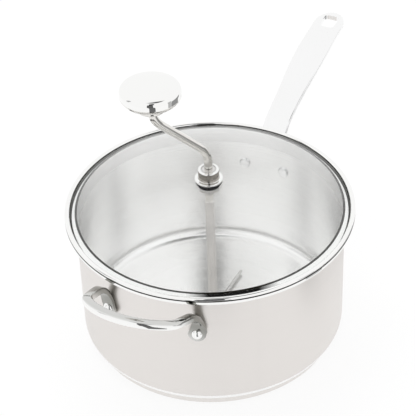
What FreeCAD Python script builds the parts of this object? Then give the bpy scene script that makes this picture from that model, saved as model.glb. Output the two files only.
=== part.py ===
import FreeCAD, Part
import math
import os

# Stovetop popcorn popper: a 24 cm deep steel pan with a long handle and a helper handle, a glass
# lid with a steel band, and a hand crank that turns a stirrer just above the pan's floor.
# Millimetres. +Z is up, the origin is the middle of the underside, and the long handle points to +Y.

Vector = FreeCAD.Vector
ORIGIN = Vector(0, 0, 0)
UP = Vector(0, 0, 1)

# ---- pan ----
PAN_INNER_R = 120.0
WALL = 1.0
PAN_OUTER_R = PAN_INNER_R + WALL
RIM_Z = 129.5
RIM_FLARE = 5.5
RIM_LIP_R = 126.4
CORNER_R = 12.0
BASE_THICK = 6.0
BASE_R = 113.5
CLADDING = 0.6
BASE_EDGE_R = 1.5
FLOOR_Z = BASE_THICK + WALL

# ---- lid: glass and band ----
GLASS_TOP_Z = 162.9
GLASS_DOME_R = 302.0
GLASS_THICK = 4.0
GLASS_UNDER_R = GLASS_DOME_R - GLASS_THICK
GLASS_EDGE_R = 127.0
GLASS_HOLE_R = 8.0
BAND_SHEET = 0.8
BAND_OUTER_R = 130.35
BAND_LIP_R = 126.1
BEAD_TOP_Z = 137.1
BEAD_FOOT_Z = 135.5
GROOVE_Z = 135.0
GROOVE_R = 129.8
BAND_TURN_Z = 132.8
BAND_SEAT_R = 128.2
BAND_SEAT_INNER_R = 125.2
SKIRT_R = 119.2
SKIRT_BOTTOM_Z = 119.6

# ---- bearing in the middle of the lid ----
COLLAR_FLANGE_Z = 164.9
COLLAR_FLANGE_R = 12.85
COLLAR_FLANGE_THICK = 2.0
COLLAR_R = 9.5
COLLAR_TOP_Z = 176.2
COLLAR_CUP_R = 6.8
COLLAR_CUP_DEPTH = 2.5
SLEEVE_R = 7.8
SLEEVE_BOTTOM_Z = 152.2
GASKET_R = 12.0
LOWER_GASKET_R = 10.0
LOWER_GASKET_BOTTOM_Z = 157.3
CLAMP_WASHER_R = 9.8
CLAMP_WASHER_THICK = 0.8
NUT_ACROSS_FLATS = 17.0
NUT_THICK = 3.8
BUSH_R = 6.2
RUNNING_CLEARANCE = 0.05

# ---- crank rod ----
ROD_R = 3.75
CRANK_HEADING = 237.0
CRANK_THROW = 53.2
ROD_LOW_BEND_Z = 193.7
ROD_HIGH_BEND_Z = 249.0
LOW_BEND_R = 27.0
HIGH_BEND_R = 29.0
ROD_JOINT_Z = 140.1
ROD_STUD_R = 2.5
ROD_STUD_LENGTH = 14.0
ROD_SHOULDER_Z = 262.2
SPINDLE_R = 2.5
SPINDLE_TOP_Z = 279.6
RING_R = 6.2
RING_THICK = 1.7
AXIAL_GAP = 0.3
CLIP_THICK = 0.8
CLIP_GROOVE_R = 2.9
STOP_WASHER_R = 6.5

# ---- knob ----
KNOB_R = 26.2
KNOB_TOP_Z = 285.6
KNOB_EDGE_TOP_Z = 279.6
KNOB_SEAM_Z = 274.2
KNOB_NECK_R = 12.5
KNOB_NECK_TOP_Z = 264.7
KNOB_BOTTOM_Z = 259.9
KNOB_SHEET = 1.0
KNOB_BUSH_R = 7.0
KNOB_BUSH_TOP_Z = 276.0
KNOB_WASHER_R = 5.5

# ---- stirrer ----
SHAFT_R = 4.25
SHAFT_BOTTOM_Z = 13.5
HUB_R = 8.0
HUB_BOTTOM_Z = 8.0
HUB_TOP_Z = 26.0
WIRE_R = 1.5
SWEEP_WIRE_Z = 10.2
SWEEP_TIP = (94.0, 44.0)
SWEEP_CORNER = (96.0, -12.0)
SWEEP_STRAIGHT = 30.0
SWEEP_TIP_BEND_R = 30.0
SWEEP_HUB_BEND_R = 40.0
LIFT_WIRE_Z = 15.4
LIFT_REACH = 62.0
LIFT_FOOT = 27.0
LIFT_CREST = 15.0
LIFT_BEND_R = 9.0
SET_SCREW_Z = 21.5
SET_SCREW_R = 2.0

# ---- long handle ----
# Distance from the pan's axis and height of the blade's top line.
HANDLE_TOP_LINE = [(117.6, 97.6), (126.6, 106.6), (138.6, 120.3), (150.5, 131.8), (169.4, 140.5),
                   (199.3, 151.3), (229.1, 160.3), (258.8, 166.9), (288.6, 170.8), (302.6, 171.4)]
# Distance from the pan's axis and half the blade's width there.
HANDLE_ROOT_HALF = 13.2
HANDLE_SIDES = [(150.0, 12.5), (179.0, 13.0), (204.0, 14.4), (237.0, 15.5), (270.8, 15.0)]
HANDLE_SHOULDER = (288.1, 12.6)
HANDLE_TIP_Y = 297.5
HANDLE_THICK = 4.4
CHANNEL_DEPTH = 1.8
CHANNEL_INSET = 3.4
CHANNEL_START_Y = 140.0
CHANNEL_END_Y = 268.0
HANDLE_SOFT_EDGE = 1.1
HOLE_NEAR_Y = 271.8
HOLE_FAR_Y = 290.2
HOLE_NEAR_HALF = 6.9
HOLE_FAR_HALF = 8.0
HOLE_CORNER_R = 3.6
SADDLE_THICK = 4.0
SADDLE_R = PAN_OUTER_R + SADDLE_THICK
SADDLE_HALF_WIDTH = 28.5
SADDLE_LOW_Z = 85.2
SADDLE_HIGH_Z = 108.2
SADDLE_CORNER_R = 7.0
MAIN_RIVET_ANGLE = 9.64
MAIN_RIVET_Z = (SADDLE_LOW_Z + SADDLE_HIGH_Z) / 2

# ---- helper handle ----
LUG_THICK = 4.0
LUG_OUTER_R = PAN_OUTER_R + LUG_THICK
LUG_LATERAL = 43.0
LUG_R = 8.0
LUG_RIVET_Z = 92.8
LUG_TOP_LATERAL = 44.4
LUG_TOP_HALF = 4.6
LUG_TOP_Z = 107.0
BAR_WIDTH = 9.0
BAR_THICK = 5.0
BAR_EDGE_R = 1.8
BAR_TILT = 23.4
BAR_FRONT_REACH = 172.85
BAR_FRONT_Z = 141.6
BAR_FOOT_LATERAL = 43.4
BAR_FOOT_Z = 96.0
BAR_ELBOW_LATERAL = 45.4
BAR_ELBOW_REACH = 115.0
BAR_CORNER_LATERAL = 41.4
BAR_CORNER_REACH = 154.6
BAR_APEX_REACH = 192.3
BAR_ELBOW_R = 30.0
BAR_CORNER_BEND_R = 19.0
BAR_FRONT_BEND_R = 51.5

# ---- rivets ----
RIVET_R = 3.0
INSIDE_HEAD_R = 5.3
INSIDE_HEAD_HEIGHT = 1.7
MAIN_HEAD_R = 5.2
MAIN_HEAD_HEIGHT = 2.4
HELPER_HEAD_R = 4.9
HELPER_HEAD_HEIGHT = 4.0
HELPER_HEAD_ROOM = 1.1

# ---- reach of the plain blocks that trim other shapes ----
TRIM_LOW_Z = 60.0
TRIM_HIGH_Z = 140.0
TRIM_REACH = 12.0
TRIM_HEIGHT = 220.0
TRIM_HALF_WIDTH = 40.0


# ------------------------------------------------------------------ drawing helpers

def on_arc(centre, radius, degrees):
    """Point on a circle in the radius-height plane."""
    turn = math.radians(degrees)
    return (centre[0] + radius * math.cos(turn), centre[1] + radius * math.sin(turn))


def edges_through(start, steps, place):
    """Edges from start through the steps; a step is a point, or (point on arc, end of arc)."""
    edges = []
    here = start
    for step in steps:
        if isinstance(step[0], tuple):
            through, there = step
            edges.append(Part.Arc(place(*here), place(*through), place(*there)).toShape())
        else:
            there = step
            edges.append(Part.makeLine(place(*here), place(*there)))
        here = there
    if place(*here).distanceToPoint(place(*start)) > 1e-6:
        edges.append(Part.makeLine(place(*here), place(*start)))
    return edges


def in_section(radius, height):
    return Vector(radius, 0, height)


def cap_arc_point(edge_r, edge_z, top_z, radius):
    """Point at a radius on the round cap that spans edge_r and is centred on the axis."""
    rise = top_z - edge_z
    ball_r = (edge_r ** 2 + rise ** 2) / (2 * abs(rise))
    drop = ball_r - math.sqrt(ball_r ** 2 - radius ** 2)
    return (radius, top_z - math.copysign(drop, rise))


def turned(start, *steps):
    """Solid of revolution about the Z axis, from an outline of (radius, height) points."""
    wire = Part.Wire(edges_through(start, steps, in_section))
    return Part.Face(wire).revolve(ORIGIN, UP, 360)


def ring(inner_r, outer_r, bottom, top):
    return turned((inner_r, bottom), (outer_r, bottom), (outer_r, top), (inner_r, top))


def disc(radius, bottom, top):
    return Part.makeCylinder(radius, top - bottom, Vector(0, 0, bottom))


def outward(degrees):
    turn = math.radians(degrees)
    return Vector(math.cos(turn), math.sin(turn), 0)


def radial_pin(degrees, height, radius, start_r, end_r):
    """Cylinder that points away from the pan's axis."""
    direction = outward(degrees)
    foot = direction * start_r + Vector(0, 0, height)
    return Part.makeCylinder(radius, end_r - start_r, foot, direction)


def through_wall(degrees, height, radius):
    """Cylinder through the pan's wall and what is riveted to it."""
    return radial_pin(degrees, height, radius, PAN_INNER_R - TRIM_REACH, PAN_OUTER_R + TRIM_REACH)


def rounded_outline(half_wide, half_high, corner, place):
    """Outline of a rectangle with round corners about its own middle."""
    bend = corner * (1 - math.sqrt(0.5))
    run_w = half_wide - corner
    run_h = half_high - corner
    return Part.Wire(edges_through(
        (-run_w, -half_high),
        [(run_w, -half_high), ((half_wide - bend, bend - half_high), (half_wide, -run_h)),
         (half_wide, run_h), ((half_wide - bend, half_high - bend), (run_w, half_high)),
         (-run_w, half_high), ((bend - half_wide, half_high - bend), (-half_wide, run_h)),
         (-half_wide, -run_h), ((bend - half_wide, bend - half_high), (-run_w, -half_high))],
        place))


def bent_path(points, radii):
    """Straight runs joined by tangent arcs, one radius for each inner point."""
    edges = []
    here = points[0]
    for index, radius in enumerate(radii):
        corner = points[index + 1]
        back = (points[index] - corner).normalize()
        ahead = (points[index + 2] - corner).normalize()
        half_angle = back.getAngle(ahead) / 2
        bisector = (back + ahead).normalize()
        leave = corner + back * (radius / math.tan(half_angle))
        arrive = corner + ahead * (radius / math.tan(half_angle))
        middle = corner + bisector * (radius / math.sin(half_angle) - radius)
        edges.append(Part.makeLine(here, leave))
        edges.append(Part.Arc(leave, middle, arrive).toShape())
        here = arrive
    edges.append(Part.makeLine(here, points[-1]))
    return Part.Wire(edges)


def round_bar(path, radius, start, direction):
    """Round rod swept along a path that leaves start in a known direction."""
    circle = Part.Wire([Part.makeCircle(radius, start, direction)])
    return path.makePipeShell([circle], True, False)


def export(shape, node):
    shape.exportStep("parts/" + node + ".step")


# ------------------------------------------------------------------ pan

def pan_corner():
    """Centre of the round bottom corner, in radius and height."""
    return (PAN_OUTER_R - CORNER_R, BASE_THICK + CORNER_R)


def pan_envelope():
    """The pan's outer form without its hollow, for fitting the base to it."""
    corner = pan_corner()
    return turned((0, BASE_THICK), (corner[0], BASE_THICK),
                  (on_arc(corner, CORNER_R, -45), (PAN_OUTER_R, corner[1])),
                  (PAN_OUTER_R, RIM_Z), (0, RIM_Z))


def pan_body():
    """Drawn steel pan with a round bottom corner and a flared rim."""
    corner = pan_corner()
    flare = (PAN_INNER_R + RIM_FLARE, RIM_Z - RIM_FLARE)
    body = turned(
        (0, BASE_THICK),
        (corner[0], BASE_THICK),
        (on_arc(corner, CORNER_R, -45), (PAN_OUTER_R, corner[1])),
        (PAN_OUTER_R, flare[1]),
        (on_arc(flare, RIM_FLARE - WALL, 135), (flare[0], RIM_Z - WALL)),
        (RIM_LIP_R, RIM_Z - WALL),
        ((RIM_LIP_R + WALL / 2, RIM_Z - WALL / 2), (RIM_LIP_R, RIM_Z)),
        (flare[0], RIM_Z),
        (on_arc(flare, RIM_FLARE, 135), (PAN_INNER_R, flare[1])),
        (PAN_INNER_R, corner[1]),
        (on_arc(corner, CORNER_R - WALL, -45), (corner[0], FLOOR_Z)),
        (0, FLOOR_Z))
    for degrees, height in main_rivet_places() + helper_rivet_places():
        body = body.cut(through_wall(degrees, height, RIVET_R))
    return body


def base_core():
    """Aluminium heat-spreading disc under the pan."""
    return disc(BASE_R - CLADDING, CLADDING, pan_corner()[1]).cut(pan_envelope())


def base_cladding():
    """Thin steel cap that closes the disc in from below."""
    edge = (BASE_R - BASE_EDGE_R, BASE_EDGE_R)
    top = pan_corner()[1]
    cap = turned((0, 0), (edge[0], 0),
                 (on_arc(edge, BASE_EDGE_R, -45), (BASE_R, edge[1])),
                 (BASE_R, top), (BASE_R - CLADDING, top),
                 (BASE_R - CLADDING, CLADDING), (0, CLADDING))
    return cap.cut(pan_envelope())


# ------------------------------------------------------------------ rivets

def main_rivet_places():
    return [(90 - MAIN_RIVET_ANGLE, MAIN_RIVET_Z), (90 + MAIN_RIVET_ANGLE, MAIN_RIVET_Z)]


def helper_rivet_places():
    angle = math.degrees(math.asin(LUG_LATERAL / LUG_OUTER_R))
    return [(270 - angle, LUG_RIVET_Z), (270 + angle, LUG_RIVET_Z)]


def rivet(degrees, height, grip, head_r, head_height):
    """Rivet through the wall and a flange; both heads are fitted to the round faces they sit on."""
    reach = PAN_OUTER_R + grip - PAN_INNER_R
    rim = reach + 0.4
    top = reach + head_height
    shape = turned(
        (0, -INSIDE_HEAD_HEIGHT),
        (INSIDE_HEAD_R - 1.2, -INSIDE_HEAD_HEIGHT),
        ((INSIDE_HEAD_R - 0.35, 0.35 - INSIDE_HEAD_HEIGHT), (INSIDE_HEAD_R, 1.1 - INSIDE_HEAD_HEIGHT)),
        (INSIDE_HEAD_R, 0.5),
        (RIVET_R, 0.5),
        (RIVET_R, reach - 0.8),
        (head_r, reach - 0.8),
        (head_r, rim),
        (cap_arc_point(head_r, rim, top, head_r * 0.6), (0, top)))
    direction = outward(degrees)
    turn = FreeCAD.Rotation(UP, direction)
    shape.Placement = FreeCAD.Placement(direction * PAN_INNER_R + Vector(0, 0, height), turn)
    skin = ring(PAN_INNER_R, PAN_OUTER_R + grip, height - TRIM_REACH, height + TRIM_REACH)
    return shape.cut(skin.cut(through_wall(degrees, height, RIVET_R)))


def main_handle_rivets():
    return Part.makeCompound([rivet(degrees, height, SADDLE_THICK, MAIN_HEAD_R, MAIN_HEAD_HEIGHT)
                              for degrees, height in main_rivet_places()])


def helper_handle_rivets():
    return Part.makeCompound([rivet(degrees, height, LUG_THICK, HELPER_HEAD_R, HELPER_HEAD_HEIGHT)
                              for degrees, height in helper_rivet_places()])


# ------------------------------------------------------------------ long handle

def handle_strip(top_offset, bottom_offset):
    """Slab between two offsets of the blade's top line, wider than the handle."""
    line = Part.BSplineCurve()
    line.interpolate([Vector(0, y, z) for y, z in HANDLE_TOP_LINE])
    steps = 18
    rails = []
    for offset in (top_offset, bottom_offset):
        points = []
        for index in range(steps + 1):
            place = line.FirstParameter + (line.LastParameter - line.FirstParameter) * index / steps
            along = Vector(*line.tangent(place)[0])
            points.append(line.value(place) + Vector(0, along.z, -along.y) * offset)
        rail = Part.BSplineCurve()
        rail.interpolate(points)
        rails.append(rail)
    top, bottom = rails
    wire = Part.Wire([
        top.toShape(),
        Part.makeLine(top.value(top.LastParameter), bottom.value(bottom.LastParameter)),
        bottom.toShape(),
        Part.makeLine(bottom.value(bottom.FirstParameter), top.value(top.FirstParameter))])
    face = Part.Face(wire)
    face.translate(Vector(-TRIM_HALF_WIDTH, 0, 0))
    return face.extrude(Vector(2 * TRIM_HALF_WIDTH, 0, 0))


def handle_plan(inset, start_y, tip_y):
    """The blade seen from above, as a tall block; inset draws it in from the edge."""
    shoulder_y = min(HANDLE_SHOULDER[0], tip_y - (HANDLE_TIP_Y - HANDLE_SHOULDER[0]))
    sides = [(start_y, HANDLE_ROOT_HALF)] + HANDLE_SIDES
    right = [Vector(half - inset, y, 0) for y, half in sides if y < shoulder_y]
    right.append(Vector(HANDLE_SHOULDER[1] - inset, shoulder_y, 0))
    left = [Vector(-point.x, point.y, 0) for point in reversed(right)]
    curve = Part.BSplineCurve()
    curve.interpolate(right + [Vector(0, tip_y, 0)] + left)
    wire = Part.Wire([curve.toShape(), Part.makeLine(left[-1], right[0])])
    return Part.Face(wire).extrude(Vector(0, 0, TRIM_HEIGHT))


def handle_hang_hole():
    """Slot with round corners near the tip, wider towards the end."""
    corners = [(-HOLE_NEAR_HALF, HOLE_NEAR_Y), (HOLE_NEAR_HALF, HOLE_NEAR_Y),
               (HOLE_FAR_HALF, HOLE_FAR_Y), (-HOLE_FAR_HALF, HOLE_FAR_Y)]
    outline = Part.makePolygon([Vector(x, y, 0) for x, y in corners + corners[:1]])
    block = Part.Face(outline).extrude(Vector(0, 0, TRIM_HEIGHT))
    upright = [edge for edge in block.Edges if edge.BoundBox.ZLength > TRIM_HEIGHT / 2]
    return block.makeFillet(HOLE_CORNER_R, upright)


def handle_saddle():
    """Plate that fits the round wall and takes the two rivets."""
    middle = Vector(0, PAN_INNER_R - TRIM_HALF_WIDTH / 2, MAIN_RIVET_Z)
    half_high = (SADDLE_HIGH_Z - SADDLE_LOW_Z) / 2
    outline = rounded_outline(SADDLE_HALF_WIDTH, half_high, SADDLE_CORNER_R,
                              lambda x, z: middle + Vector(x, 0, z))
    block = Part.Face(outline).extrude(Vector(0, TRIM_HALF_WIDTH, 0))
    return ring(PAN_OUTER_R, SADDLE_R, TRIM_LOW_Z, TRIM_HIGH_Z).common(block)


def handle_soft_edges(handle):
    """The blade's two long outline edges and the edges where it leaves the saddle."""
    chosen = []
    for edge in handle.Edges:
        middle = edge.valueAt((edge.FirstParameter + edge.LastParameter) / 2)
        on_saddle = abs(math.hypot(middle.x, middle.y) - SADDLE_R) < 0.01
        at_blade = abs(middle.x) < HANDLE_ROOT_HALF and SADDLE_LOW_Z + 5 < middle.z < SADDLE_HIGH_Z - 1
        if (on_saddle and at_blade) or edge.Length > 2 * (HANDLE_TIP_Y - SADDLE_R):
            chosen.append(edge)
    return chosen


def main_handle():
    """Long pressed handle with a shallow channel underneath, a hang hole and a riveted saddle."""
    blade = handle_strip(0, HANDLE_THICK).common(handle_plan(0, PAN_INNER_R - 8, HANDLE_TIP_Y))
    channel = handle_strip(HANDLE_THICK - CHANNEL_DEPTH, HANDLE_THICK + CHANNEL_DEPTH)
    blade = blade.cut(channel.common(handle_plan(CHANNEL_INSET, CHANNEL_START_Y, CHANNEL_END_Y)))
    blade = blade.cut(handle_hang_hole())
    whole = blade.fuse(handle_saddle()).cut(disc(PAN_OUTER_R, TRIM_LOW_Z, TRIM_HIGH_Z))
    whole = whole.removeSplitter()
    whole = whole.makeFillet(HANDLE_SOFT_EDGE, handle_soft_edges(whole))
    for degrees, height in main_rivet_places():
        whole = whole.cut(through_wall(degrees, height, RIVET_R))
    return whole


# ------------------------------------------------------------------ helper handle

def helper_place(lateral, reach, height):
    """Point given by its distance sideways, its distance from the pan's axis and its height."""
    return Vector(-lateral, -reach, height)


def helper_lug(side):
    """Tapered lug on the wall, widest round its rivet."""
    centre = LUG_LATERAL * side
    top = LUG_TOP_LATERAL * side
    top_half = LUG_TOP_HALF * side
    wide = LUG_R * side
    outline = Part.Wire(edges_through(
        (centre - wide, LUG_RIVET_Z),
        [(top - top_half, LUG_TOP_Z), ((top, LUG_TOP_Z + LUG_TOP_HALF), (top + top_half, LUG_TOP_Z)),
         (centre + wide, LUG_RIVET_Z), ((centre, LUG_RIVET_Z - LUG_R), (centre - wide, LUG_RIVET_Z))],
        lambda v, z: helper_place(v, PAN_OUTER_R / 2, z)))
    block = Part.Face(outline).extrude(Vector(0, -PAN_OUTER_R, 0))
    return ring(PAN_OUTER_R, LUG_OUTER_R, TRIM_LOW_Z, TRIM_HIGH_Z).common(block)


def bar_point(lateral, reach):
    """Point on the tilted plane in which the front of the bar is bent."""
    rise = (reach - BAR_FRONT_REACH) * math.tan(math.radians(BAR_TILT))
    return helper_place(lateral, reach, BAR_FRONT_Z + rise)


def helper_bar():
    """Flat bar that leaves both lugs upwards, bends outwards and closes in a tilted loop."""
    half = [helper_place(BAR_FOOT_LATERAL, BAR_ELBOW_REACH, BAR_FOOT_Z),
            bar_point(BAR_ELBOW_LATERAL, BAR_ELBOW_REACH),
            bar_point(BAR_CORNER_LATERAL, BAR_CORNER_REACH)]
    other = [Vector(-point.x, point.y, point.z) for point in reversed(half)]
    points = half + [bar_point(0, BAR_APEX_REACH)] + other
    bends = [BAR_ELBOW_R, BAR_CORNER_BEND_R, BAR_FRONT_BEND_R, BAR_CORNER_BEND_R, BAR_ELBOW_R]
    path = bent_path(points, bends)
    along = (points[1] - points[0]).normalize()
    across = along.cross(Vector(0, -1, 0)).normalize()
    facing = across.cross(along)
    section = rounded_outline(BAR_WIDTH / 2, BAR_THICK / 2, BAR_EDGE_R,
                              lambda a, b: points[0] + across * a + facing * b)
    return path.makePipeShell([section], True, False)


def helper_handle():
    """Cast loop handle: two lugs on the wall and one bar."""
    whole = helper_bar().fuse([helper_lug(1), helper_lug(-1)])
    whole = whole.cut(disc(PAN_OUTER_R, TRIM_LOW_Z, TRIM_HIGH_Z))
    outside = disc(LUG_OUTER_R + TRIM_REACH, TRIM_LOW_Z, TRIM_HIGH_Z)
    outside = outside.cut(disc(LUG_OUTER_R, TRIM_LOW_Z, TRIM_HIGH_Z))
    for degrees, height in helper_rivet_places():
        seat = through_wall(degrees, height, HELPER_HEAD_R + HELPER_HEAD_ROOM).common(outside)
        whole = whole.cut(seat).cut(through_wall(degrees, height, RIVET_R))
    return whole.removeSplitter()


# ------------------------------------------------------------------ lid

def dome_height(radius, dome_r):
    """Height of a dome whose centre is the glass's centre of curvature."""
    return GLASS_TOP_Z - GLASS_DOME_R + math.sqrt(dome_r ** 2 - radius ** 2)


def dome_ball(dome_r):
    return Part.makeSphere(dome_r, Vector(0, 0, GLASS_TOP_Z - GLASS_DOME_R))


def lid_glass():
    """Domed glass plate of even thickness with a hole in the middle."""
    radii = (GLASS_HOLE_R, (GLASS_HOLE_R + GLASS_EDGE_R) / 2, GLASS_EDGE_R)
    under = [(radius, dome_height(radius, GLASS_UNDER_R)) for radius in radii]
    over = [(radius, dome_height(radius, GLASS_DOME_R)) for radius in radii]
    return turned(under[0], (under[1], under[2]), over[2], (over[1], over[0]))


def lid_band(glass):
    """Rolled steel band: a bead over the glass's edge, a leg under the glass and a skirt."""
    lip_z = dome_height(BAND_LIP_R, GLASS_DOME_R)
    crown_r = (BAND_LIP_R + BAND_OUTER_R) / 2
    inner_r = BAND_OUTER_R - BAND_SHEET - 0.3
    skirt_inner_r = SKIRT_R - BAND_SHEET
    leg_z = dome_height(SKIRT_R, GLASS_UNDER_R)
    end_r = BAND_SHEET / 2
    band = turned(
        (BAND_LIP_R, lip_z),
        ((crown_r, BEAD_TOP_Z), (BAND_OUTER_R, BEAD_FOOT_Z)),
        (GROOVE_R, GROOVE_Z),
        (BAND_OUTER_R, 2 * GROOVE_Z - BEAD_FOOT_Z),
        (BAND_OUTER_R, BAND_TURN_Z),
        ((BAND_OUTER_R - 0.65, RIM_Z + 1.0), (BAND_SEAT_R, RIM_Z)),
        (BAND_SEAT_INNER_R, RIM_Z),
        (SKIRT_R + 1.2, leg_z - 1.5),
        ((SKIRT_R + 0.3, leg_z - 1.8), (SKIRT_R, leg_z - 2.4)),
        (SKIRT_R, SKIRT_BOTTOM_Z + end_r),
        ((SKIRT_R - end_r, SKIRT_BOTTOM_Z), (skirt_inner_r, SKIRT_BOTTOM_Z + end_r)),
        (skirt_inner_r, leg_z - 0.8),
        ((skirt_inner_r + 0.2, leg_z - 0.2), (SKIRT_R, leg_z + 0.15)),
        (GLASS_EDGE_R - 0.5, RIM_Z + 1.5),
        (BAND_SEAT_R - 0.3, RIM_Z + 1.0),
        ((inner_r - 0.3, RIM_Z + 1.7), (inner_r, BAND_TURN_Z)),
        (inner_r, BEAD_FOOT_Z - 0.2),
        ((crown_r, BEAD_TOP_Z - BAND_SHEET), (BAND_LIP_R + 0.7, lip_z - BAND_SHEET)))
    return band.cut(glass)


def bearing_collar():
    """Flanged collar whose sleeve passes through the glass."""
    top = COLLAR_TOP_Z
    flange_top = COLLAR_FLANGE_Z + COLLAR_FLANGE_THICK
    cup_z = top - COLLAR_CUP_DEPTH
    return turned(
        (BUSH_R, SLEEVE_BOTTOM_Z),
        (SLEEVE_R, SLEEVE_BOTTOM_Z),
        (SLEEVE_R, COLLAR_FLANGE_Z),
        (COLLAR_FLANGE_R - 0.5, COLLAR_FLANGE_Z),
        ((COLLAR_FLANGE_R, COLLAR_FLANGE_Z + 0.8), (COLLAR_FLANGE_R - 0.6, flange_top - 0.5)),
        (COLLAR_R + 0.8, flange_top),
        ((COLLAR_R + 0.25, flange_top + 0.25), (COLLAR_R, flange_top + 0.8)),
        (COLLAR_R, top - 0.9),
        ((COLLAR_R - 0.3, top - 0.3), (COLLAR_R - 0.9, top)),
        (COLLAR_CUP_R + 0.3, top),
        (COLLAR_CUP_R, top - 0.3),
        (COLLAR_CUP_R, cup_z),
        (BUSH_R, cup_z))


def shaft_bush():
    """Plastic liner that the rod runs in."""
    return ring(ROD_R + RUNNING_CLEARANCE, BUSH_R, SLEEVE_BOTTOM_Z, COLLAR_TOP_Z - COLLAR_CUP_DEPTH)


def collar_gasket():
    """Black seal between the glass and the collar's flange."""
    foot_z = dome_height(GASKET_R, GLASS_DOME_R) - 1
    seal = turned((SLEEVE_R, foot_z), (GASKET_R, foot_z),
                  (GASKET_R, COLLAR_FLANGE_Z - 0.4), (GASKET_R - 0.4, COLLAR_FLANGE_Z),
                  (SLEEVE_R, COLLAR_FLANGE_Z))
    return seal.cut(dome_ball(GLASS_DOME_R))


def lower_gasket():
    """Seal under the glass; its top follows the dome."""
    seal = ring(SLEEVE_R, LOWER_GASKET_R, LOWER_GASKET_BOTTOM_Z, GLASS_TOP_Z)
    return seal.common(dome_ball(GLASS_UNDER_R))


def clamp_washer():
    top = LOWER_GASKET_BOTTOM_Z
    return ring(SLEEVE_R, CLAMP_WASHER_R, top - CLAMP_WASHER_THICK, top)


def lock_nut():
    """Hexagon nut with chamfered corners on the collar's sleeve."""
    top = LOWER_GASKET_BOTTOM_Z - CLAMP_WASHER_THICK
    bottom = top - NUT_THICK
    corner_r = NUT_ACROSS_FLATS / math.sqrt(3)
    corners = [outward(60 * k) * corner_r + Vector(0, 0, bottom) for k in range(7)]
    block = Part.Face(Part.makePolygon(corners)).extrude(Vector(0, 0, NUT_THICK))
    chamfer = turned((0, bottom), (corner_r - 1.1, bottom), (corner_r + 0.3, bottom + 0.9),
                     (corner_r + 0.3, top), (0, top))
    return block.common(chamfer).cut(disc(SLEEVE_R, bottom - 1, top + 1))


# ------------------------------------------------------------------ crank

def crank_point(reach, height):
    return outward(CRANK_HEADING) * reach + Vector(0, 0, height)


def split_clip(inner_r, outer_r, bottom, mouth_heading, centre=ORIGIN):
    """Snap ring with an open mouth."""
    clip = ring(inner_r, outer_r, bottom, bottom + CLIP_THICK)
    mouth_half = inner_r * 0.75
    mouth = Part.makeBox(outer_r + 2, 2 * mouth_half, CLIP_THICK + 2, Vector(0, -mouth_half, bottom - 1))
    mouth.rotate(ORIGIN, UP, mouth_heading)
    clip = clip.cut(mouth)
    clip.translate(centre)
    return clip


def lower_clip_z():
    return SLEEVE_BOTTOM_Z - AXIAL_GAP - 2 * CLIP_THICK


def upper_clip_z():
    return KNOB_BUSH_TOP_Z + AXIAL_GAP + CLIP_THICK


def crank_rod():
    """Round rod with two bends, a stud at its lower end and a spindle for the knob on top."""
    start = crank_point(0, ROD_JOINT_Z)
    path = bent_path([start, crank_point(0, ROD_LOW_BEND_Z), crank_point(CRANK_THROW, ROD_HIGH_BEND_Z),
                      crank_point(CRANK_THROW, ROD_SHOULDER_Z)], [LOW_BEND_R, HIGH_BEND_R])
    rod = round_bar(path, ROD_R, start, UP)
    stud = Part.makeCylinder(ROD_STUD_R, ROD_STUD_LENGTH + 1, crank_point(0, ROD_JOINT_Z - ROD_STUD_LENGTH))
    spindle = Part.makeCylinder(SPINDLE_R, SPINDLE_TOP_Z - ROD_SHOULDER_Z + 1,
                                crank_point(CRANK_THROW, ROD_SHOULDER_Z - 1))
    rod = rod.fuse([stud, spindle])
    low = lower_clip_z()
    rod = rod.cut(ring(CLIP_GROOVE_R, ROD_R + 1, low, low + CLIP_THICK))
    high = upper_clip_z()
    groove = ring(SPINDLE_R - 0.5, SPINDLE_R + 1, high, high + CLIP_THICK)
    groove.translate(crank_point(CRANK_THROW, 0))
    return rod.cut(groove)


def rod_ring():
    """Ring fixed on the rod; it carries the rod on the bush."""
    bottom = COLLAR_TOP_Z - COLLAR_CUP_DEPTH + AXIAL_GAP
    return ring(ROD_R, RING_R, bottom, bottom + RING_THICK)


def stop_washer():
    bottom = lower_clip_z() + CLIP_THICK
    return ring(ROD_R, STOP_WASHER_R, bottom, bottom + CLIP_THICK)


def rod_clip():
    return split_clip(CLIP_GROOVE_R, ROD_R + 2.2, lower_clip_z(), CRANK_HEADING)


# ------------------------------------------------------------------ knob

def at_knob(shape):
    shape.translate(crank_point(CRANK_THROW, 0))
    return shape


def knob_cap():
    """Upper shell of the knob: a shallow crown with a rounded edge."""
    thin = KNOB_SHEET
    crown_r = KNOB_R - 2.6
    crown_z = KNOB_EDGE_TOP_Z + 2.5
    under_r = crown_r - 0.6
    under_z = crown_z - thin
    return at_knob(turned(
        (0, KNOB_TOP_Z),
        (cap_arc_point(crown_r, crown_z, KNOB_TOP_Z, crown_r / 2), (crown_r, crown_z)),
        ((KNOB_R - 0.6, KNOB_EDGE_TOP_Z + 0.7), (KNOB_R, KNOB_EDGE_TOP_Z - 1.8)),
        (KNOB_R, KNOB_SEAM_Z),
        (KNOB_R - thin, KNOB_SEAM_Z),
        (KNOB_R - thin, KNOB_EDGE_TOP_Z - 1.8),
        ((KNOB_R - 1.6, KNOB_EDGE_TOP_Z + 0.1), (under_r, under_z)),
        (cap_arc_point(under_r, under_z, KNOB_TOP_Z - thin, under_r / 2), (0, KNOB_TOP_Z - thin))))


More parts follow.
